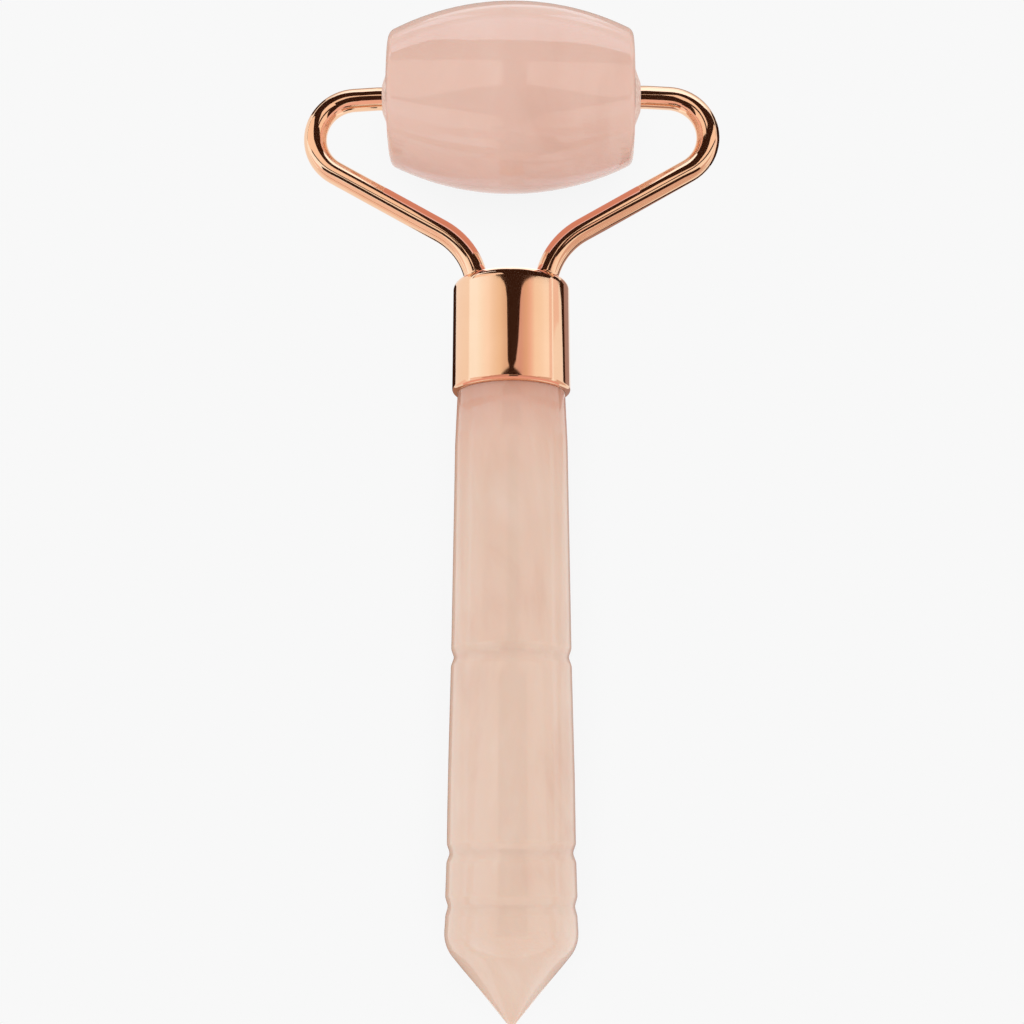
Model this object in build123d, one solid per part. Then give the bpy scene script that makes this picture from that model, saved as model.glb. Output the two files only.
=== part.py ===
from build123d import *

import math
import os

# Single-ended mini face roller: a stone barrel that spins on the two in-turned ends of a
# bent-wire fork, a plated ferrule that takes both wire tails, and a ground stone handle.
#
# Every part is drawn in the tool's own frame, in millimetres: the barrel turns about X
# through the origin, the handle runs along -Y and the fork lies in the XY plane. The last
# step lays the finished tool on the table, where it rests on the barrel and the handle.

# ---- barrel (roller stone) ----
BARREL_MID_R = 9.72        # radius at the middle of the barrel
BARREL_HALF = 12.45        # half its length, end face to end face
BARREL_CROWN_R = 27.5      # radius of the crowned side, seen from the front
BARREL_EDGE_R = 0.95       # rounding between the side and each end face
BARREL_BORE_R = 2.0        # drilled right through for the two bushes

# ---- end bushes ----
BUSH_FLANGE_R = 3.5        # foot of the cone that stands on the end face
BUSH_NOSE_R = 1.5          # nose of the cone, next to the wire
BUSH_NOSE_X = 13.2         # how far out the nose reaches
BUSH_DEPTH = 4.0           # length of the spigot inside the barrel
BUSH_EDGE_R = 0.12         # rounding of the nose
RUNNING_GAP = 0.05         # radial clearance of the wire pin in its bush

# ---- fork arms (one bent wire each) ----
WIRE_R = 1.175
PIN_TIP_X = 8.9            # inner end of the pin, inside the barrel
PIN_CHAMFER = 0.2
PIN_END_X = 13.55          # where the straight pin ends and the arm starts to bend
TOE_ANGLE = 3.5            # slope of the arm between the pin and the outer bend
TOE_R = 6.0                # bend radius where that slope starts
ARM_OUT_X = 20.05          # outermost point of the wire's centre line
OUTER_BEND_R = 4.2
DIAGONAL_ANGLE = 30.0      # slope of the long straight, from the barrel's axis
NECK_BEND_R = 7.5          # bend that brings the arm down into the ferrule
TAIL_X = 3.40              # centre line of the tail inside the ferrule
TAIL_END_Y = -23.6

# ---- ferrule ----
FERRULE_TOP_Y = -19.65
FERRULE_LOW_Y = -31.25
FERRULE_TOP_R = 5.82       # the cup opens very slightly towards its mouth
FERRULE_LOW_R = 5.90
FERRULE_EDGE_R = 1.0       # rounding of the closed top
FERRULE_BORE_R = 5.40
FERRULE_ROOF = 0.95        # thickness of the closed top
FERRULE_ROOF_R = 0.6       # rounding inside the closed top
LIP_R = 0.48               # turned-in lip at the mouth
GLUE_RECESS = 0.25         # the glue stops this far inside the mouth
WIRE_HOLE_GAP = 0.03       # radial gap of the wire in the ferrule's hole

# ---- braze fillets ----
BRAZE_FOOT = 0.42          # reach of the fillet from the wire along the ferrule's top
BRAZE_RISE = 0.90          # height of the fillet up the wire
BRAZE_BRIM = 0.05          # its thickness where it ends on the wire
BRAZE_SINK = 0.40          # drawn this far below the ferrule's top, then cut off flush
BRAZE_HOLLOW = (0.4, 0.3)  # where its hollow side passes, as shares of reach and height

# ---- handle stone ----
SPIGOT_R = 5.15            # turned-down end inside the ferrule
SPIGOT_END_Y = -24.9
SPIGOT_EDGE_R = 0.5
COLLAR_R = 5.36            # where the stone comes out of the ferrule
COLLAR_TAPER = 0.2         # length of the step from the spigot up to the collar
GROOVE_EDGE_R = 1.0        # soft shoulders of the three grooves
GROOVE_ROOT_R = 0.7
# each groove: centre station, upper and lower half widths, upper, root and lower radii
GROOVES = [
    (-57.65, 0.80, 0.85, 5.845, 5.56, 5.870),
    (-76.40, 0.85, 0.85, 6.165, 5.87, 6.190),
    (-81.38, 0.88, 0.88, 6.285, 6.03, 6.265),
]
SWELLS = [(5.575, -36.4, 40.0), (6.10, -69.3, 150.0)]   # very gentle bellies: r, y, rounding
WIDEST_R = 6.355
WIDEST_Y = -83.89
SHOULDER_R = 3.4           # rounding between the widest ring and the cone
SHOULDER_START = 3.3       # slope of the side where that rounding begins, degrees
CONE_ANGLE = 40.0          # half angle of the pointed end
TIP_R = 0.6                # rounding of the point

# ---- cutters ----
THROUGH = 60.0             # longer than the tool is wide, so a cut goes right through
PAST = 1.0                 # how far an open-ended cut runs past the face that it opens


def vec_polar(radius, degrees):
    angle = math.radians(degrees)
    return (radius * math.cos(angle), radius * math.sin(angle))


def rounded_path(corners):
    """Lines through (r, y, radius) corners, each corner replaced by an arc of its radius."""
    edges = []
    cursor = Vector(corners[0][0], corners[0][1])
    for before, here, after in zip(corners, corners[1:], corners[2:]):
        corner = Vector(here[0], here[1])
        back = (Vector(before[0], before[1]) - corner).normalized()
        ahead = (Vector(after[0], after[1]) - corner).normalized()
        if here[2] == 0:
            edges.append(Line(cursor, corner))
            cursor = corner
            continue
        half = math.radians(back.get_angle(ahead)) / 2
        reach = here[2] / math.tan(half)
        start = corner + back * reach
        end = corner + ahead * reach
        middle_way = (back + ahead).normalized()
        middle = corner + middle_way * (here[2] / math.sin(half) - here[2])
        edges.append(Line(cursor, start))
        edges.append(ThreePointArc(start, middle, end))
        cursor = end
    edges.append(Line(cursor, Vector(corners[-1][0], corners[-1][1])))
    return edges


def turned_about_y(corners, extra=()):
    """Solid of revolution about Y from rounded corners, both ends of which lie on the axis."""
    edges = rounded_path(corners) + list(extra)
    last = edges[-1] @ 1
    first = edges[0] @ 0
    edges.append(Line(last, first))
    return revolve(make_face(edges), axis=Axis.Y)


# ---------------------------------------------------------------- roller
def roller_stone():
    rim_r = BARREL_MID_R - BARREL_CROWN_R + math.sqrt(BARREL_CROWN_R**2 - BARREL_HALF**2)
    outline = [
        Line((-BARREL_HALF, 0), (-BARREL_HALF, rim_r)),
        ThreePointArc((-BARREL_HALF, rim_r), (0, BARREL_MID_R), (BARREL_HALF, rim_r)),
        Line((BARREL_HALF, rim_r), (BARREL_HALF, 0)),
        Line((BARREL_HALF, 0), (-BARREL_HALF, 0)),
    ]
    barrel = revolve(make_face(outline), axis=Axis.X)
    rims = barrel.edges().filter_by(GeomType.CIRCLE).filter_by(
        lambda edge: abs(abs(edge.center().X) - BARREL_HALF) < 0.01 and edge.length > 1)
    barrel = fillet(rims, BARREL_EDGE_R)
    bore = Plane.YZ * Cylinder(BARREL_BORE_R, THROUGH)
    return barrel - bore


def end_bush(side):
    nose_length = BUSH_NOSE_X - BARREL_HALF
    cone = Cone(BUSH_FLANGE_R, BUSH_NOSE_R, nose_length, align=(Align.CENTER, Align.CENTER, Align.MIN))
    cone = fillet(cone.edges().sort_by(Axis.Z)[-1], BUSH_EDGE_R)
    spigot = Cylinder(BARREL_BORE_R, BUSH_DEPTH, align=(Align.CENTER, Align.CENTER, Align.MAX))
    pin_hole = Cylinder(WIRE_R + RUNNING_GAP, THROUGH)
    bush = cone + spigot - pin_hole
    outward = Plane(origin=(side * BARREL_HALF, 0, 0), z_dir=(side, 0, 0))
    return outward * bush


# ---------------------------------------------------------------- fork
def outer_bend():
    """Centre, start and end of the outer bend, and the end of the short toe bend before it."""
    toe = math.radians(TOE_ANGLE)
    toe_end = (PIN_END_X + TOE_R * math.sin(toe), -TOE_R * (1 - math.cos(toe)))
    centre_x = ARM_OUT_X - OUTER_BEND_R
    start_x = centre_x + OUTER_BEND_R * math.sin(toe)
    start_y = toe_end[1] - (start_x - toe_end[0]) * math.tan(toe)
    centre_y = start_y - OUTER_BEND_R * math.cos(toe)
    out_x, out_y = vec_polar(OUTER_BEND_R, DIAGONAL_ANGLE - 90)
    return (centre_x, centre_y), (start_x, start_y), (centre_x + out_x, centre_y + out_y), toe_end


def neck_centre():
    """Centre of the neck bend, which leaves the diagonal and runs down into the tail."""
    _, _, (from_x, from_y), _ = outer_bend()
    centre_x = TAIL_X + NECK_BEND_R
    in_x, in_y = vec_polar(NECK_BEND_R, 90 + DIAGONAL_ANGLE)
    start_x = centre_x + in_x
    start_y = from_y - (from_x - start_x) * math.tan(math.radians(DIAGONAL_ANGLE))
    return centre_x, start_y - in_y


def arm_centre_line(side):
    """Pin, toe bend, outer bend, long diagonal, neck bend and tail, in the XY plane."""
    (bend_x, bend_y), bend_start, bend_end, toe_end = outer_bend()
    half_toe = math.radians(TOE_ANGLE / 2)
    toe_mid = (PIN_END_X + TOE_R * math.sin(half_toe), -TOE_R * (1 - math.cos(half_toe)))
    neck_x, neck_y = neck_centre()
    in_x, in_y = vec_polar(NECK_BEND_R, 90 + DIAGONAL_ANGLE)
    mid_x, mid_y = vec_polar(NECK_BEND_R, 135 + DIAGONAL_ANGLE / 2)
    neck_start = (neck_x + in_x, neck_y + in_y)

    def at(x, y):
        return (side * x, y)

    return Wire([
        Line(at(PIN_TIP_X, 0), at(PIN_END_X, 0)),
        ThreePointArc(at(PIN_END_X, 0), at(*toe_mid), at(*toe_end)),
        Line(at(*toe_end), at(*bend_start)),
        ThreePointArc(at(*bend_start), at(bend_x + OUTER_BEND_R, bend_y), at(*bend_end)),
        Line(at(*bend_end), at(*neck_start)),
        ThreePointArc(at(*neck_start), at(neck_x + mid_x, neck_y + mid_y), at(TAIL_X, neck_y)),
        Line(at(TAIL_X, neck_y), at(TAIL_X, TAIL_END_Y)),
    ])


def round_bar(side, radius):
    section = Plane(origin=(side * PIN_TIP_X, 0, 0), z_dir=(side, 0, 0)) * Circle(radius)
    return sweep(section, path=arm_centre_line(side))


def fork_arm(side):
    arm = round_bar(side, WIRE_R)
    pin_face = arm.faces().filter_by(GeomType.PLANE).sort_by(Axis.Y)[-1]
    return chamfer(pin_face.edges(), PIN_CHAMFER)


def all_below(y):
    """A block that holds everything nearer the handle's point than station y."""
    return Pos(0, y, 0) * Box(THROUGH, THROUGH, THROUGH, align=(Align.CENTER, Align.MAX, Align.CENTER))


def braze_fillet(side):
    """Concave ring of filler round the wire, standing on the ferrule's top."""
    neck_x, neck_y = neck_centre()
    drop = FERRULE_TOP_Y - neck_y
    root_x = neck_x - math.sqrt(NECK_BEND_R**2 - drop**2)
    up = Vector(side * drop, neck_x - root_x, 0)
    foot_r = WIRE_R + BRAZE_FOOT
    brim_r = WIRE_R + BRAZE_BRIM
    hollow = (WIRE_R + BRAZE_HOLLOW[0] * BRAZE_FOOT, BRAZE_HOLLOW[1] * BRAZE_RISE)
    ring = [
        Line((0, -BRAZE_SINK), (foot_r, -BRAZE_SINK)),
        Line((foot_r, -BRAZE_SINK), (foot_r, 0)),
        ThreePointArc((foot_r, 0), hollow, (brim_r, BRAZE_RISE)),
        Line((brim_r, BRAZE_RISE), (0, BRAZE_RISE)),
        Line((0, BRAZE_RISE), (0, -BRAZE_SINK)),
    ]
    upright = Rot(X=90) * revolve(make_face(ring), axis=Axis.Y)
    stand = Plane(origin=(side * root_x, FERRULE_TOP_Y, 0), x_dir=(0, 0, 1), z_dir=up)
    return stand * upright - round_bar(side, WIRE_R) - all_below(FERRULE_TOP_Y)


# ---------------------------------------------------------------- ferrule and glue
def cup_bore():
    roof_y = FERRULE_TOP_Y - FERRULE_ROOF
    return turned_about_y([
        (0, roof_y, 0),
        (FERRULE_BORE_R, roof_y, FERRULE_ROOF_R),
        (FERRULE_BORE_R, FERRULE_LOW_Y - PAST, 0),
        (0, FERRULE_LOW_Y - PAST, 0),
    ])


def ferrule():
    cup = turned_about_y([
        (0, FERRULE_TOP_Y, 0),
        (FERRULE_TOP_R, FERRULE_TOP_Y, FERRULE_EDGE_R),
        (FERRULE_LOW_R, FERRULE_LOW_Y, LIP_R),
        (0, FERRULE_LOW_Y, 0),
    ])
    cup -= cup_bore()
    for side in (-1, 1):
        cup -= round_bar(side, WIRE_R + WIRE_HOLE_GAP)
    return cup


def ferrule_adhesive(stone, arms):
    """Epoxy that fills the cup round the stone's spigot and the two wire tails."""
    fill = cup_bore() - all_below(FERRULE_LOW_Y + GLUE_RECESS) - stone
    for arm in arms:
        fill -= arm
    return fill


# ---------------------------------------------------------------- handle
def shoulder_centre():
    return (WIDEST_R - SHOULDER_R, WIDEST_Y)


def handle_stone():
    corners = [
        (0, SPIGOT_END_Y, 0),
        (SPIGOT_R, SPIGOT_END_Y, SPIGOT_EDGE_R),
        (SPIGOT_R, FERRULE_LOW_Y + COLLAR_TAPER, 0),
        (COLLAR_R, FERRULE_LOW_Y, 0),
    ]
    swells = list(SWELLS) + [None]
    for groove, swell in zip(GROOVES, swells):
        y, upper, lower, r_above, r_root, r_below = groove
        if swell:
            corners.append(swell)
        corners.append((r_above, y + upper, GROOVE_EDGE_R))
        corners.append((r_root, y, GROOVE_ROOT_R))
        corners.append((r_below, y - lower, GROOVE_EDGE_R))

    centre_r, centre_y = shoulder_centre()
    half_turn = (SHOULDER_START + CONE_ANGLE) / 2
    corner_r, corner_y = vec_polar(
        SHOULDER_R / math.cos(math.radians(half_turn)), (SHOULDER_START - CONE_ANGLE) / 2)
    corners.append((centre_r + corner_r, centre_y + corner_y, SHOULDER_R))

    cone_r, cone_y = vec_polar(SHOULDER_R, -CONE_ANGLE)
    point_y = centre_y + cone_y - (centre_r + cone_r) / math.tan(math.radians(CONE_ANGLE))
    ball_y = point_y + TIP_R / math.sin(math.radians(CONE_ANGLE))
    touch_r, touch_y = vec_polar(TIP_R, -CONE_ANGLE)
    corners.append((touch_r, ball_y + touch_y, 0))
    mid_r, mid_y = vec_polar(TIP_R, -(CONE_ANGLE + 90) / 2)
    tip = ThreePointArc((touch_r, ball_y + touch_y), (mid_r, ball_y + mid_y), (0, ball_y - TIP_R))
    return turned_about_y(corners, extra=[tip])


# ---------------------------------------------------------------- resting pose
def rest_tilt():
    """Angle the tool leans, point down, to rest on the barrel and the handle's widest ring."""
    centre_r, centre_y = shoulder_centre()
    span = math.hypot(centre_y, centre_r)
    return math.degrees(math.asin((BARREL_MID_R - SHOULDER_R) / span) - math.atan2(centre_r, -centre_y))


def main():
    stone = handle_stone()
    cup = ferrule()
    arms = {side: fork_arm(side) for side in (-1, 1)}
    parts = {
        "roller_stone": roller_stone(),
        "left_end_bush": end_bush(-1),
        "right_end_bush": end_bush(1),
        "left_fork_arm": arms[-1],
        "right_fork_arm": arms[1],
        "left_braze_fillet": braze_fillet(-1),
        "right_braze_fillet": braze_fillet(1),
        "ferrule": cup,
        "ferrule_adhesive": ferrule_adhesive(stone, arms.values()),
        "handle_stone": stone,
    }

    tilt = Rot(X=rest_tilt())
    point_y = (tilt * stone).bounding_box().min.Y
    centre_y = (point_y + BARREL_MID_R) / 2
    on_table = Pos(0, -centre_y, BARREL_MID_R) * tilt

    os.makedirs("parts", exist_ok=True)
    for name, shape in parts.items():
        export_step(on_table * shape, f"parts/{name}.step")
    print(f"lean {rest_tilt():.3f} deg, roller axis at y {-centre_y:.3f}, z {BARREL_MID_R:.3f} mm")


main()
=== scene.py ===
import math

import bmesh
import bpy
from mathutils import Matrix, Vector

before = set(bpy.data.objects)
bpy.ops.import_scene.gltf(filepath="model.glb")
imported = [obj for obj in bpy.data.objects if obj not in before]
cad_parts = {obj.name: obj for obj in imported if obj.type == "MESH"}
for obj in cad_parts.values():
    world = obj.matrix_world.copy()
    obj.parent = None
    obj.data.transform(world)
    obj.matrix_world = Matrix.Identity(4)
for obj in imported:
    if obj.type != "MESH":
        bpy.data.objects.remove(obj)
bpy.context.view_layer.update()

MM = 0.001

# Every piece of the roller is a CAD node and keeps its CAD mesh, so this scene only adds materials and
# the studio. All places below are in mm, in the CAD frame.

# ---------------------------------------------------------------- camera
CAMERA_PLACE = (3.16, -47.9, 203.3)
CAMERA_TURN = (13.25, 0.90, 0.035)      # degrees about X, Y and Z
CAMERA_LENS = 71.6
SENSOR_WIDTH = 36.0
CLIP_START = 10.0
CLIP_END = 10000.0

# ---------------------------------------------------------------- floor and sky
PALE = (0.939, 0.939, 0.939)            # floor and sky as the camera sees them
SKY_LIGHT = (1.0, 1.0, 1.0)             # the sky as it lights the stone
SKY_GLOSS = (1.02, 1.13, 1.22)          # the sky in reflections
FLOOR_REACH = 2500.0
CONTACT_REACH = 9.0                     # how far the soft contact shadow spreads
CONTACT_LEVEL = 0.93                    # floor brightness right under the tool
CONTACT_OPEN = 0.75                     # a place this open has no shadow

# ---------------------------------------------------------------- colours of the tool
HANDLE_TONES = ((0.735, 0.50, 0.39), (0.785, 0.575, 0.46), (0.82, 0.635, 0.53))
ROLLER_TONES = ((0.75, 0.475, 0.385), (0.79, 0.525, 0.435), (0.815, 0.57, 0.48))
PLATE_TONES = ((0.965, 0.605, 0.385), (0.99, 0.635, 0.415))
FROST_TONES = ((0.82, 0.53, 0.43), (0.97, 0.76, 0.66))
GLUE_TONES = ((0.72, 0.60, 0.48), (0.80, 0.70, 0.58))
POLISH = 0.045                          # least roughness of the polished stone and metal

# painted shade and a painted warm reflection of the ferrule: the handle's colour darkens and reddens
# over the 20 mm before the ferrule
PAINTED_FERRULE_SHADE_Y = (10.0, -10.0)
PAINTED_FERRULE_SHADE = (
    (0.00, (0.77, 0.525, 0.46)),
    (0.14, (0.89, 0.73, 0.69)),
    (0.30, (0.95, 0.85, 0.81)),
    (0.52, (0.96, 0.93, 0.91)),
    (1.00, (1.00, 1.00, 1.00)),
)


# ---------------------------------------------------------------- node helpers
def node_of(tree, kind, inputs=(), **settings):
    """A new node, with its inputs linked to sockets or set to values."""
    node = tree.nodes.new(kind)
    for key, value in settings.items():
        setattr(node, key, value)
    for key, value in dict(inputs).items():
        if isinstance(value, bpy.types.NodeSocket):
            tree.links.new(value, node.inputs[key])
        else:
            node.inputs[key].default_value = value
    return node


def maths(tree, operation, *values):
    return node_of(tree, "ShaderNodeMath", dict(enumerate(values)), operation=operation).outputs[0]


def ramp(tree, factor, stops, smooth="EASE"):
    node = node_of(tree, "ShaderNodeValToRGB", {"Fac": factor})
    band = node.color_ramp
    band.interpolation = smooth
    while len(band.elements) < len(stops):
        band.elements.new(0.5)
    for element, (place, colour) in zip(band.elements, stops):
        element.position = place
        element.color = (*colour, 1.0)
    return node.outputs["Color"]


def mix(tree, factor, first, second, blend="MIX"):
    """Two colours mixed. A colour may be a socket or a tuple."""
    node = node_of(tree, "ShaderNodeMix", data_type="RGBA", blend_type=blend)
    for socket, value in ((node.inputs[0], factor), (node.inputs[6], first), (node.inputs[7], second)):
        if isinstance(value, bpy.types.NodeSocket):
            tree.links.new(value, socket)
        else:
            socket.default_value = (*value, 1.0) if isinstance(value, tuple) else value
    return node.outputs[2]


def noise(tree, place, scale, detail=3.0, rough=0.5, distort=0.0):
    return node_of(tree, "ShaderNodeTexNoise", {
        "Vector": place, "Scale": scale, "Detail": detail, "Roughness": rough, "Distortion": distort,
    }).outputs["Fac"]


def rescale(tree, value, old_range, new_range=(0.0, 1.0)):
    ends = dict(enumerate((value, *old_range, *new_range)))
    return node_of(tree, "ShaderNodeMapRange", ends).outputs[0]


def own_place(tree):
    return node_of(tree, "ShaderNodeTexCoord").outputs["Object"]


def one_axis(tree, place, axis):
    return node_of(tree, "ShaderNodeSeparateXYZ", {0: place}).outputs[axis]


def new_material(name):
    material = bpy.data.materials.new(name)
    material.use_nodes = True
    tree = material.node_tree
    tree.nodes.clear()
    return material, tree


def principled(tree, inputs):
    shader = node_of(tree, "ShaderNodeBsdfPrincipled", inputs)
    node_of(tree, "ShaderNodeOutputMaterial", {"Surface": shader.outputs[0]})


def emission(tree, colour, strength):
    glow = node_of(tree, "ShaderNodeEmission", {"Color": colour, "Strength": strength})
    node_of(tree, "ShaderNodeOutputMaterial", {"Surface": glow.outputs[0]})


# ---------------------------------------------------------------- materials of the tool
def stone_material(name, tones, seed, paint_ferrule_shade=False):
    """Milky quartz: veils drawn out along the tool, soft puffs, and a fine grain."""
    deep, body, cloud = tones
    material, tree = new_material(name)
    place = own_place(tree)
    shift = {"Vector": place, "Location": (seed, 2 * seed, -seed)}
    moved = node_of(tree, "ShaderNodeMapping", shift).outputs[0]
    stretch = {"Vector": moved, "Scale": (1.0, 0.35, 1.0)}
    drawn_out = node_of(tree, "ShaderNodeMapping", stretch).outputs[0]
    veil = noise(tree, drawn_out, scale=110.0, detail=5.0, rough=0.55, distort=0.9)
    puff = noise(tree, moved, scale=55.0)
    grain = noise(tree, moved, scale=900.0, detail=4.0, rough=0.6)
    tone = maths(tree, "ADD", maths(tree, "MULTIPLY", veil, 0.55), maths(tree, "MULTIPLY", puff, 0.45))
    colour = ramp(tree, tone, ((0.36, deep), (0.50, body), (0.66, cloud)))
    colour = mix(tree, maths(tree, "MULTIPLY", grain, 0.10), colour, cloud)
    # painted shade and painted reflection of the ferrule, multiplied into the handle's colour near the
    # ferrule
    if paint_ferrule_shade:
        ends = [y * MM for y in PAINTED_FERRULE_SHADE_Y]
        shade = ramp(tree, rescale(tree, one_axis(tree, place, "Y"), ends), PAINTED_FERRULE_SHADE, "LINEAR")
        colour = mix(tree, 1.0, colour, shade, "MULTIPLY")
    principled(tree, {
        "Base Color": colour,
        "Roughness": maths(tree, "ADD", POLISH, maths(tree, "MULTIPLY", grain, 0.03)),
        "IOR": 1.544,
        "Subsurface Weight": 0.35,
        "Subsurface Radius": (1.0, 0.55, 0.40),
        "Subsurface Scale": 1.6 * MM,
    })
    return material


def plate_material():
    """Polished rose gold plate."""
    material, tree = new_material("rose_gold")
    place = own_place(tree)
    wave = noise(tree, place, scale=160.0)
    fine = noise(tree, place, scale=4200.0, detail=2.0, rough=0.6)
    principled(tree, {
        "Base Color": ramp(tree, wave, tuple(zip((0.30, 0.70), PLATE_TONES))),
        "Metallic": 1.0,
        "Roughness": maths(tree, "ADD", POLISH, maths(tree, "MULTIPLY", fine, 0.05)),
    })
    return material


def frosted_material():
    """The grainy, matt cones at the barrel's ends."""
    material, tree = new_material("frosted")
    grain = noise(tree, own_place(tree), scale=3200.0, rough=0.7)
    bump = node_of(tree, "ShaderNodeBump", {"Height": grain, "Strength": 0.5, "Distance": 0.05 * MM})
    principled(tree, {
        "Base Color": ramp(tree, grain, tuple(zip((0.35, 0.65), FROST_TONES))),
        "Roughness": 0.5,
        "Normal": bump.outputs[0],
        "IOR": 1.5,
    })
    return material


def glue_material():
    """The epoxy inside the ferrule."""
    material, tree = new_material("clear_epoxy")
    fine = noise(tree, own_place(tree), scale=700.0)
    colour = ramp(tree, fine, tuple(zip((0.3, 0.7), GLUE_TONES)))
    principled(tree, {"Base Color": colour, "Roughness": 0.25})
    return material


def dress(material, *node_names):
    for node_name in node_names:
        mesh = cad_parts[node_name].data
        mesh.materials.clear()
        mesh.materials.append(material)


PLATED_NODES = ("ferrule", "left_fork_arm", "right_fork_arm", "left_braze_fillet", "right_braze_fillet")
dress(stone_material("quartz_handle", HANDLE_TONES, seed=0.3, paint_ferrule_shade=True), "handle_stone")
dress(stone_material("quartz_roller", ROLLER_TONES, seed=0.7), "roller_stone")
dress(plate_material(), *PLATED_NODES)
dress(frosted_material(), "left_end_bush", "right_end_bush")
dress(glue_material(), "ferrule_adhesive")


# ---------------------------------------------------------------- stage materials
def glow_material(name, colour):
    material, tree = new_material(name)
    emission(tree, (*colour, 1.0), 1.0)
    return material


def soft_panel_material():
    """A soft panel whose colour changes across the tool."""
    material, tree = new_material("soft_panel")
    ends = (-PANEL_REACH * MM, PANEL_REACH * MM)
    across = rescale(tree, one_axis(tree, own_place(tree), "X"), ends)
    shades = []
    for x, colour in PANEL_TONES:
        share = (x + PANEL_REACH) / (2 * PANEL_REACH)
        shades.append((share, tuple(part / PANEL_BOOST for part in colour)))
    emission(tree, ramp(tree, across, shades, "LINEAR"), PANEL_BOOST)
    return material


def floor_material():
    """A pale floor that darkens a little where the tool touches it."""
    material, tree = new_material("pale_floor")
    nearness = {"Distance": CONTACT_REACH * MM}
    shade = node_of(tree, "ShaderNodeAmbientOcclusion", nearness, samples=8).outputs["AO"]
    emission(tree, (*PALE, 1.0), rescale(tree, shade, (0.0, CONTACT_OPEN), (CONTACT_LEVEL, 1.0)))
    return material


# the soft panel's colour at each place across the tool: white at the sides and warm over the middle
PANEL_REACH = 50.0
PANEL_BOOST = 1.5                       # a ramp stops at 1, so brighter tones come from the strength
PANEL_TONES = (
    (-50, (1.02, 1.18, 1.30)),
    (-35, (1.00, 1.13, 1.20)),
    (-18, (1.00, 1.00, 1.00)),
    (-12, (0.92, 0.86, 0.80)),
    (-7, (0.87, 0.76, 0.64)),
    (-3, (0.75, 0.60, 0.50)),
    (6, (0.69, 0.44, 0.42)),
    (10, (0.75, 0.54, 0.43)),
    (14, (0.87, 0.63, 0.58)),
    (20, (0.95, 0.89, 0.83)),
    (50, (1.00, 1.02, 1.02)),
)
GLOWS = {
    "bright_panel": (1.35, 1.50, 1.70),
    "side_panel": (0.98, 0.85, 0.77),
    "black_flag": (0.034, 0.013, 0.007),
    "brown_flag": (0.40, 0.28, 0.27),
    "line_card": (1.24, 1.36, 1.42),
    "taupe_flag": (0.49, 0.40, 0.36),
    "rust_flag": (0.34, 0.19, 0.14),
    "coral_flag": (0.86, 0.58, 0.56),
    "lip_flag": (0.62, 0.36, 0.33),
    "salmon_flag": (0.90, 0.74, 0.72),
    "copper_flag": (0.70, 0.52, 0.47),
    "lip_ring": (0.79, 0.455, 0.43),
    "wall_tone": (0.60, 0.38, 0.28),
    "rim_tone": (0.75, 0.40, 0.28),
    "screen_front_low": (0.67, 0.33, 0.285),
    "screen_front_high": (0.90, 0.68, 0.80),
    "screen_back_low": (1.18, 1.20, 1.26),
    "screen_back_high": (0.98, 0.82, 0.80),
}
stage_materials = {"pale_floor": floor_material(), "soft_panel": soft_panel_material()}
for name, colour in GLOWS.items():
    stage_materials[name] = glow_material(name, colour)


# ---------------------------------------------------------------- stage shapes
def card_mesh(name, material_name, corners):
    """One flat piece of the stage: the floor or a card."""
    mesh = bpy.data.meshes.new(name)
    shape = bmesh.new()
    shape.faces.new([shape.verts.new(Vector(corner) * MM) for corner in corners])
    shape.normal_update()
    bmesh.ops.triangulate(shape, faces=shape.faces[:])
    shape.to_mesh(mesh)
    shape.free()
    mesh.materials.append(stage_materials[material_name])
    card = bpy.data.objects.new(name, mesh)
    bpy.context.scene.collection.objects.link(card)
    return card


def reflection_card(name, material_name, corners):
    """A card that only reflections can see."""
    card = card_mesh(name, material_name, corners)
    card.visible_camera = False
    card.visible_diffuse = False
    card.visible_transmission = False
    card.visible_volume_scatter = False
    card.visible_shadow = False


def flat_card(name, material_name, height, outline):
    reflection_card(name, material_name, [(x, y, height) for x, y in outline])


def upright_card(name, material_name, depth, outline):
    reflection_card(name, material_name, [(x, depth, z) for x, z in outline])


def rectangle(x0, y0, x1, y1):
    return ((x0, y0), (x1, y0), (x1, y1), (x0, y1))


def arc(radius, centre_height, angles):
    """Points of an arc in an upright card, with angles in degrees from the top."""
    turns = [math.radians(angle) for angle in angles]
    return tuple((radius * math.sin(turn), centre_height + radius * math.cos(turn)) for turn in turns)


floor_outline = rectangle(-FLOOR_REACH, -FLOOR_REACH, FLOOR_REACH, FLOOR_REACH)
card_mesh("floor", "pale_floor", [(x, y, 0.0) for x, y in floor_outline])

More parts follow.
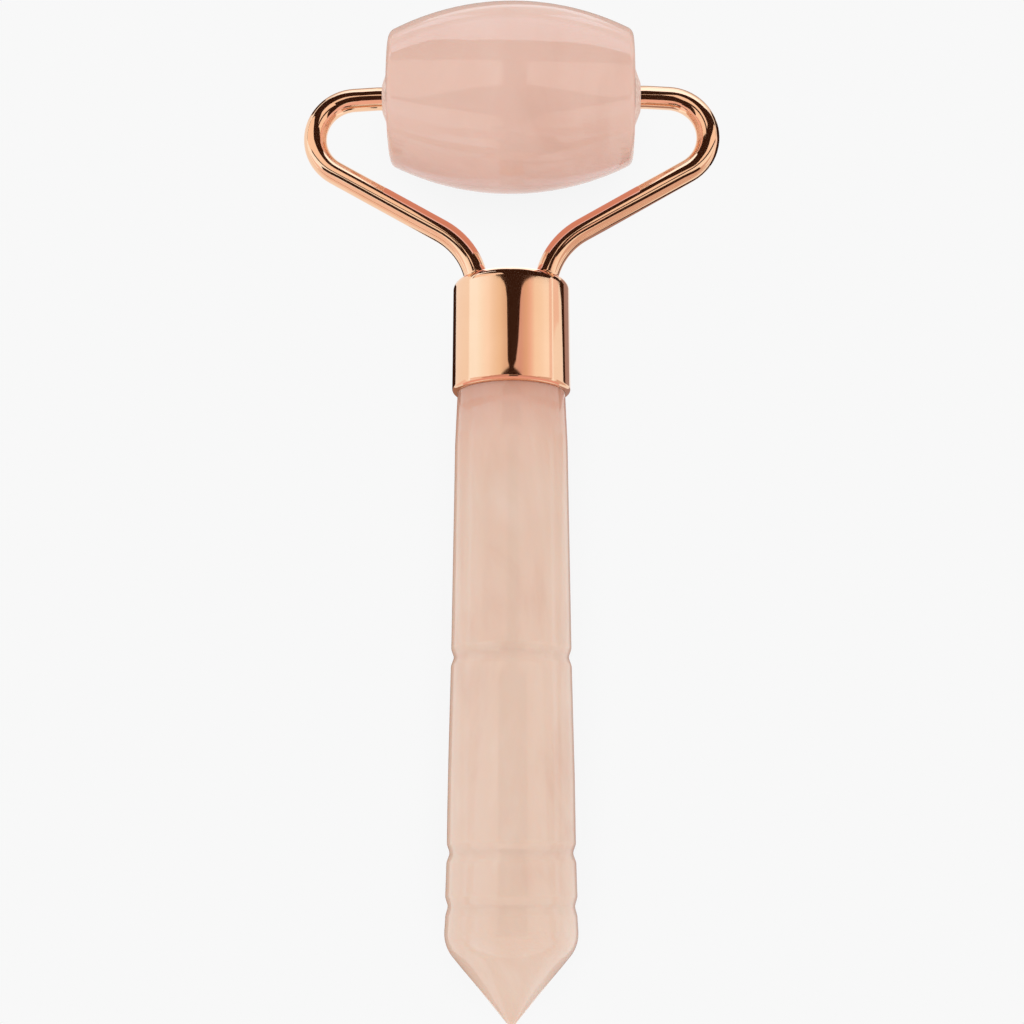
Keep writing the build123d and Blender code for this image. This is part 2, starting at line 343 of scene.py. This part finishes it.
# ---------------------------------------------------------------- cards overhead
# The ferrule, wires and stone mirror these. Each hangs a number of layers below its level, and the
# lower card hides the upper one.
LOW_LEVEL = 30.0
HIGH_LEVEL = 75.0
LAYER = 0.1
LOW_PANEL_EDGE = (
    (400, 200), (160, 78), (121, 63), (51, 37.2), (16, 27.2), (0, 25.2), (-16, 27.2), (-51, 37.2),
    (-121, 63), (-160, 78), (-400, 200),
)
OVERHEAD = (
    ("panel_low", "soft_panel", LOW_LEVEL, 0, ((-400, -130), (400, -130), *LOW_PANEL_EDGE)),
    ("panel_high", "bright_panel", HIGH_LEVEL, 0, rectangle(-600, -130, 600, 700)),
    # draws the dark funnel down the ferrule's middle and a thin dark line along the wires
    ("flag_ferrule", "black_flag", LOW_LEVEL, 2, (
        (-0.9, 14.8), (-6, 14.2), (-6, 10), (7, 10), (7, 14.2), (1.6, 14.8), (3.2, 15.5), (4.7, 17.8),
        (5.4, 20.0), (5.9, 22.2), (7.0, 23.7), (9.1, 24.6), (13.5, 25.8), (19.3, 27.2), (28.4, 29.7),
        (46.8, 35.1), (121, 58.5), (121, 64), (46.8, 39.6), (28.4, 33.4), (19.3, 30.4), (12, 28.6),
        (6, 27.8), (-6, 27.8), (-11, 28.2), (-16.4, 29.8), (-23.7, 32.2), (-47, 39.6), (-47, 36.3),
        (-23.7, 29.3), (-16.4, 27.3), (-11.3, 26.0), (-9.5, 25.4), (-6.8, 24.85), (-5.6, 24.45),
        (-4.2, 24.0), (-3.2, 23.4), (-2.4, 22.2), (-2.2, 19.8), (-1.9, 15.5),
    )),
    ("flag_handle", "black_flag", LOW_LEVEL, 2, rectangle(-8.1, -46, 11.3, -16.5)),
    ("flag_upper_handle", "black_flag", LOW_LEVEL, 2, rectangle(-2.5, -16.5, 5, 8)),
    # ends the barrel's top highlight and darkens the fork's outer bends
    ("flag_high", "black_flag", HIGH_LEVEL, 2, (
        (-600, 480), (-80, 176), (-28, 113), (0, 103), (24, 106), (62, 130), (105, 155), (600, 430),
        (600, -20), (110, 3), (50, -22), (0, -36), (-50, -22), (-130, 3), (-600, -20),
    )),
    ("panel_left", "side_panel", HIGH_LEVEL, 4, (
        (-400, 360), (-104, 121), (-51, 78), (-22, 65), (-4.5, 61), (-4.5, 30), (-22, 26), (-60, 15),
        (-125, 0), (-400, -20),
    )),
    ("low_right_side", "salmon_flag", LOW_LEVEL, 1, ((100, 30), (400, 105), (400, 200), (100, 56))),
    ("low_left_lip", "lip_flag", LOW_LEVEL, 3, (
        (-30, 5), (-14, 9.5), (-2.5, 9.5), (-2.5, -14), (-30, -14),
    )),
    ("low_right_lip", "lip_flag", LOW_LEVEL, 3, (
        (5, 9.5), (14, 9.5), (30, 5), (30, -14), (5, -14),
    )),
    ("low_left_tone", "salmon_flag", LOW_LEVEL, 2, (
        (-22, 11), (-200, 50), (-200, -130), (-70, -60), (-30, -10),
    )),
    ("low_right_tone", "copper_flag", LOW_LEVEL, 2, (
        (22, 11), (200, 50), (200, -130), (70, -60), (30, -10),
    )),
    ("panel_right", "side_panel", HIGH_LEVEL, 4, (
        (400, 270), (79, 88), (47, 70), (20, 61), (8, 60), (8, 30), (22, 26), (60, 15), (125, 0),
        (400, -20),
    )),
)
for name, material_name, level, layer, outline in OVERHEAD:
    flat_card(name, material_name, level - layer * LAYER, outline)

# ---------------------------------------------------------------- cards just over the wires
# Each draws one dark line, or the warm glow beside it, along a wire of the fork.
WIRE_LEVEL = 12.0
WIRE_CARDS = (
    ("wire_left_pin", "black_flag", (
        (-12.6, 40.0), (-15.4, 40.0), (-16.6, 39.5), (-17.2, 39.4), (-18.0, 40.5), (-16.6, 41.1),
        (-15.4, 41.35), (-12.6, 41.35),
    )),
    ("wire_left_long", "black_flag", (
        (-12.6, 44.0), (-15.4, 44.0), (-17.6, 44.6), (-20.5, 46.5), (-24, 52), (-40, 76), (-46, 68),
        (-28, 46.5), (-21.6, 40.6), (-20.7, 38.75), (-20.3, 36.9), (-19.5, 35.65), (-18.4, 34.45),
        (-14.9, 32.5), (-10.1, 29.6), (-4.4, 24.6), (-3.6, 23.8), (-2.9, 22.9), (1.2, 23.8),
        (0.6, 25.2), (-2.0, 26.1), (-9.7, 30.6), (-14.4, 33.65), (-18.0, 35.2), (-18.3, 36.4),
        (-17.5, 37.7), (-19.35, 38.2), (-19.5, 39.9), (-18.4, 41.3), (-17.0, 42.0), (-15.4, 42.2),
        (-12.6, 42.2),
    )),
    ("wire_left_outer", "black_flag", (
        (-20.9, 33.1), (-20.0, 32.9), (-17.9, 32.1), (-15.85, 30.9), (-11.05, 28.0), (-5.0, 24.6),
        (-5.4, 23.95), (-11.9, 26.95), (-16.7, 29.85), (-18.9, 31.1), (-21.6, 32.0),
    )),
    ("wire_left_glow", "coral_flag", (
        (-12.6, 35.9), (-15.0, 36.2), (-16.3, 37.6), (-16.8, 38.8), (-16.4, 39.4), (-15.4, 39.9),
        (-12.6, 39.9),
    )),
    ("wire_right_pin", "black_flag", (
        (12.6, 39.3), (15.4, 39.3), (16.3, 39.1), (16.8, 38.9), (17.7, 40.05), (16.5, 40.9),
        (15.4, 41.1), (12.6, 41.1),
    )),
    ("wire_right_long", "black_flag", (
        (12.6, 42.5), (15.4, 42.5), (17.2, 42.3), (18.7, 42.0), (21.1, 41.7), (30, 48.5), (66, 78),
        (72, 70), (36, 46.5), (24, 40.0), (20.9, 36.9), (20.3, 35.3), (19.1, 33.6), (15.2, 31.85),
        (10.25, 29.3), (4.0, 24.7), (3.4, 23.7), (2.9, 22.9), (-1.2, 23.8), (-1.5, 25.5), (0.5, 27.3),
        (9.4, 31.0), (14.8, 32.65), (18.5, 34.4), (18.5, 36.4), (19.3, 37.05), (19.95, 38.4),
        (19.4, 39.9), (18.1, 40.75), (17.0, 41.2), (15.4, 41.15), (12.6, 41.15),
    )),
    ("wire_right_outer", "black_flag", (
        (24.2, 30.4), (22.0, 31.6), (21.0, 32.3), (18.3, 31.7), (16.1, 30.6), (10.95, 28.1),
        (5.0, 24.5), (5.4, 23.9), (11.8, 27.0), (17.3, 29.15), (19.6, 30.2), (24.0, 29.6),
    )),
    ("wire_right_glow", "coral_flag", (
        (12.6, 35.9), (15.0, 36.2), (16.1, 37.6), (16.4, 38.5), (15.4, 39.2), (12.6, 39.2),
    )),
)
for name, material_name, outline in WIRE_CARDS:
    flat_card(name, material_name, WIRE_LEVEL, outline)

# ---------------------------------------------------------------- cards on the floor
# The tool's edges mirror these. Each lies a layer above the one before.
FLOOR_LEVEL = 0.03
FLOOR_LAYER = 0.002
FLOOR_CARDS = (
    ("floor_left_bright", "bright_panel", ((-20, 100), (-40, 100), (-75, 260), (-30, 260))),
    ("floor_right_bright", "bright_panel", ((20, 100), (38, 100), (70, 260), (25, 260))),
    ("floor_right_side", "salmon_flag", ((40, 28), (400, 130), (400, 260), (60, 60))),
    ("floor_left_ferrule", "black_flag", ((-14.8, 12.5), (-6, 12.5), (-6, 25.5), (-14.2, 26))),
    ("floor_right_line", "black_flag", (
        (17.5, 13), (23.0, 14), (24.0, 20), (27.5, 27), (36, 31.5), (60, 40), (60, 48), (22, 33),
        (19.5, 27),
    )),
    ("floor_right_ferrule", "brown_flag", ((10, 13), (17.5, 13), (19.5, 27), (22, 33), (10, 30))),
    # these two draw a thin outline along the barrel's far rim, then a bright line
    ("floor_behind", "taupe_flag", (
        (-30, 47), (-14, 50), (14, 50), (30, 47), (34, 74), (19, 74), (10.5, 71), (5.5, 73), (0, 76),
        (-4.5, 76.5), (-10.5, 77), (-19, 78), (-34, 76),
    )),
    ("floor_behind_bright", "line_card", (
        (-19, 78), (-10.5, 77), (-4.5, 76.5), (0, 76), (5.5, 73), (10.5, 71), (19, 74), (19, 88),
        (10.5, 83), (5.5, 86), (0, 90), (-4.5, 91), (-10.5, 95), (-19, 99),
    )),
    ("floor_left_bend", "black_flag", (
        (-24, 50), (-27, 48), (-37, 56), (-75, 95), (-50, 95), (-26, 55),
    )),
    ("floor_right_bend", "black_flag", (
        (26, 46), (33, 46), (50, 54), (95, 85), (85, 95), (36, 58),
    )),
    ("floor_left_tone", "salmon_flag", (
        (-16, 10), (-31, 14), (-100, 32), (-100, -60), (-40, -20), (-20, 3),
    )),
    ("floor_right_tone", "copper_flag", (
        (16, 10), (31, 13), (100, 32), (100, -60), (40, -20), (20, 3),
    )),
    ("floor_right_corner", "black_flag", (
        (20, 36), (30, 34), (60, 47.5), (130, 80), (130, 110), (95, 86), (50, 55), (33, 47), (24, 44),
    )),
    ("floor_right_tip", "copper_flag", ((8, -75), (60, -70), (90, -160), (20, -160))),
    ("floor_left_handle", "rust_flag", rectangle(-13, -60, -5, 12.5)),
    ("floor_right_handle", "brown_flag", rectangle(5, -60, 11, 12.5)),
)
for layer, (name, material_name, outline) in enumerate(FLOOR_CARDS):
    flat_card(name, material_name, FLOOR_LEVEL + layer * FLOOR_LAYER, outline)

# ---------------------------------------------------------------- upright cards
RIM_Y = 22.6                            # just behind the ferrule's closed end
LIP_Y = 8.6                             # just in front of its lip, round the handle
LIP_AXIS_Z = 8.41                       # height of the handle's axis there
LIP_RADII = (5.95, 8.2)
LIP_ANGLES = range(-75, 76, 10)
WALL_Y = -125
GAP = 0.1                               # keeps a card clear of the floor or of the card before it
UPRIGHT = (
    ("lip_ring", "lip_ring", LIP_Y, (
        *arc(LIP_RADII[0], LIP_AXIS_Z, LIP_ANGLES),
        *arc(LIP_RADII[1], LIP_AXIS_Z, reversed(LIP_ANGLES)),
    )),
    # the first two draw lines along the ferrule's far edge, and rim_back hides the glow from the barrel
    ("rim_flag", "black_flag", RIM_Y, (
        (-4.2, 13.2), (-3.1, 13.85), (0, 14.65), (3.2, 14.2), (4.4, 13.1), (5.2, 13.0), (7.0, 12.9),
        (10, 14.5), (8.0, 19.5), (3, 20.0), (-1.7, 19.5), (-2.2, 15.1), (-3.3, 14.6), (-4.4, 14.0),
    )),
    ("rim_glow", "bright_panel", RIM_Y, ((-3, 11.2), (3, 11.2), (3, 14.1), (0, 14.55), (-3, 13.8))),
    ("rim_back", "rim_tone", RIM_Y + GAP, (
        (-3.2, 11.0), (3.2, 11.0), (3.2, 14.2), (0, 14.8), (-3.2, 14.0),
    )),
    ("low_wall", "wall_tone", WALL_Y, rectangle(-400, GAP, 400, 29.5)),
)
for name, material_name, depth, outline in UPRIGHT:
    upright_card(name, material_name, depth, outline)

# screens between the fork and the barrel: the fork sees their warm fronts, the barrel their pale backs
SCREEN_PATH = ((1.6, 26.6), (3.6, 27.3), (10.0, 31.0), (12.6, 32.3))
SCREEN_TOP = 13.0
FRONT_CHANGE = 11.5                     # heights where the tone of a side changes
BACK_CHANGE = 6.0
SCREENS = (
    ("screen_front_low", 0.0, GAP, FRONT_CHANGE),
    ("screen_front_high", 0.0, FRONT_CHANGE, SCREEN_TOP),
    ("screen_back_low", GAP, GAP, BACK_CHANGE),
    ("screen_back_high", GAP, BACK_CHANGE, SCREEN_TOP),
)
for name, setback, bottom, top in SCREENS:
    for hand, mirror in (("left", -1), ("right", 1)):
        path = [(mirror * x, y + setback) for x, y in SCREEN_PATH]
        for part, (start, end) in enumerate(zip(path, path[1:])):
            corners = ((*start, bottom), (*end, bottom), (*end, top), (*start, top))
            reflection_card(f"{name}_{hand}_{part}", name, corners)


# ---------------------------------------------------------------- sky and camera
def background(tree, colour):
    return node_of(tree, "ShaderNodeBackground", {"Color": (*colour, 1.0), "Strength": 1.0}).outputs[0]


def choose(tree, which, no, yes):
    return node_of(tree, "ShaderNodeMixShader", {0: which, 1: no, 2: yes}).outputs[0]


def add_sky():
    world = bpy.data.worlds.new("studio")
    world.use_nodes = True
    tree = world.node_tree
    tree.nodes.clear()
    ray = node_of(tree, "ShaderNodeLightPath").outputs
    lit = choose(tree, ray["Is Glossy Ray"], background(tree, SKY_LIGHT), background(tree, SKY_GLOSS))
    seen = choose(tree, ray["Is Camera Ray"], lit, background(tree, PALE))
    node_of(tree, "ShaderNodeOutputWorld", {"Surface": seen})
    bpy.context.scene.world = world


def add_camera():
    lens = bpy.data.cameras.new("camera")
    lens.lens = CAMERA_LENS
    lens.sensor_width = SENSOR_WIDTH
    lens.clip_start = CLIP_START * MM
    lens.clip_end = CLIP_END * MM
    camera = bpy.data.objects.new("camera", lens)
    camera.location = Vector(CAMERA_PLACE) * MM
    camera.rotation_euler = [math.radians(angle) for angle in CAMERA_TURN]
    bpy.context.scene.collection.objects.link(camera)
    bpy.context.scene.camera = camera


add_sky()
add_camera()
bpy.context.scene.view_settings.view_transform = "Standard"
